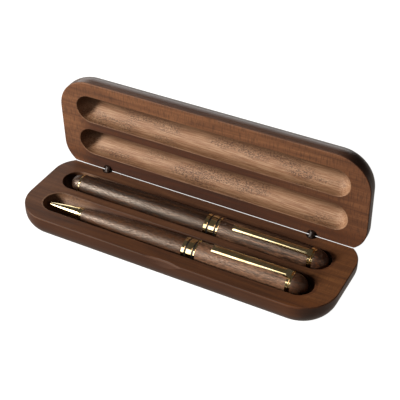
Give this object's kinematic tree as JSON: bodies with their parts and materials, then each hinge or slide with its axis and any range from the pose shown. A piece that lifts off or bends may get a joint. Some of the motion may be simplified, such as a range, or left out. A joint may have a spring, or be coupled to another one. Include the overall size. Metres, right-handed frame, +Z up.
{
  "type": "fountain pen case",
  "caption": "Hinged walnut presentation case, routed with grooves, holding a capped fountain pen and a twist ballpoint with gold trim.",
  "frame": {"origin": "centre of the flat bottom of the base", "axes": "+X along the case towards the clip ends of the pens, +Y towards the hinges, +Z up; the lid stands open"},
  "size_m": [0.172, 0.066, 0.0664],
  "materials": {
    "case_walnut": "satin lacquered walnut, unfinished routed grooves",
    "pen_walnut": "polished dark walnut",
    "gold_trim": "polished gold plate",
    "black_trim": "gloss black",
    "black_plastic": "moulded black",
    "cartridge_plastic": "translucent moulded",
    "tube_brass": "plain drawn tube",
    "refill_metal": "satin metal",
    "hinge_brass": "dark bronzed",
    "hinge_pin_steel": "plain steel"
  },
  "bodies": {
    "base": {"base_shell": "case_walnut", "left_hinge_base_barrel": "hinge_brass", "left_hinge_base_pin": "hinge_pin_steel", "right_hinge_base_barrel": "hinge_brass", "right_hinge_base_pin": "hinge_pin_steel"},
    "hinge_links": {"left_hinge_links": "hinge_brass", "right_hinge_links": "hinge_brass"},
    "lid": {"left_hinge_lid_barrel": "hinge_brass", "left_hinge_lid_pin": "hinge_pin_steel", "lid_shell": "case_walnut", "right_hinge_lid_barrel": "hinge_brass", "right_hinge_lid_pin": "hinge_pin_steel"},
    "fountain_cap": {"fountain_band_centre_ring": "gold_trim", "fountain_band_lower_ring": "gold_trim", "fountain_band_spacers": "black_trim", "fountain_band_upper_ring": "gold_trim", "fountain_cap_tube": "tube_brass", "fountain_cap_wood": "pen_walnut", "fountain_clip": "gold_trim", "fountain_finial": "pen_walnut", "fountain_finial_ring": "gold_trim", "fountain_inner_cap": "black_plastic"},
    "fountain_barrel": {"fountain_barrel_coupler": "tube_brass", "fountain_barrel_tube": "tube_brass", "fountain_barrel_wood": "pen_walnut", "fountain_cartridge": "cartridge_plastic", "fountain_end_dome": "pen_walnut", "fountain_end_ring": "gold_trim", "fountain_feed": "black_plastic", "fountain_grip_section": "black_plastic", "fountain_nib": "gold_trim"},
    "ballpoint_upper": {"ballpoint_band_centre_ring": "gold_trim", "ballpoint_band_lower_ring": "gold_trim", "ballpoint_band_spacers": "black_trim", "ballpoint_band_upper_ring": "gold_trim", "ballpoint_clip": "gold_trim", "ballpoint_drive_bush": "tube_brass", "ballpoint_finial": "pen_walnut", "ballpoint_finial_ring": "gold_trim", "ballpoint_twist_drive": "tube_brass", "ballpoint_upper_tube": "tube_brass", "ballpoint_upper_wood": "pen_walnut"},
    "ballpoint_lower": {"ballpoint_lower_tube": "tube_brass", "ballpoint_lower_wood": "pen_walnut", "ballpoint_nose_cone": "gold_trim", "ballpoint_nose_ring": "gold_trim"},
    "ballpoint_refill": {"ballpoint_refill": "refill_metal"}
  },
  "joints": [
    {"name": "hinge_links_swing", "type": "hinge", "parent": "base", "child": "hinge_links", "pos_m": [0, 0.0244, 0.01325], "axis": [1, 0, 0], "range_deg": [0, 43.75]},
    {"name": "lid_swing", "type": "hinge", "parent": "hinge_links", "child": "lid", "pos_m": [0, 0.02544, 0.01433], "axis": [1, 0, 0], "range_deg": [0, 43.75]},
    {"name": "fountain_pen_lift", "type": "slide", "parent": "base", "child": "fountain_cap", "axis": [0, 0, 1], "range_m": [0, 0.12]},
    {"name": "fountain_pen_uncap", "type": "slide", "parent": "fountain_cap", "child": "fountain_barrel", "axis": [-1, 0, 0], "range_m": [0, 0.05]},
    {"name": "ballpoint_lift", "type": "slide", "parent": "base", "child": "ballpoint_upper", "axis": [0, 0, 1], "range_m": [0, 0.12]},
    {"name": "ballpoint_twist", "type": "hinge", "parent": "ballpoint_upper", "child": "ballpoint_lower", "pos_m": [0.01128, -0.0116, 0.01215], "axis": [0.9999, 0, 0.014], "range_deg": [0, 180]},
    {"name": "refill_extend", "type": "slide", "parent": "ballpoint_upper", "child": "ballpoint_refill", "axis": [-0.9999, 0, -0.014], "range_m": [0, 0.0025]}
  ],
  "couplings": [
    {"joint": "hinge_links_swing", "follows": "lid_swing", "ratio": 1},
    {"joint": "fountain_pen_uncap", "follows": "fountain_pen_lift", "ratio": 0.4},
    {"joint": "refill_extend", "follows": "ballpoint_twist", "m_per_rad": 0.00076394}
  ]
}
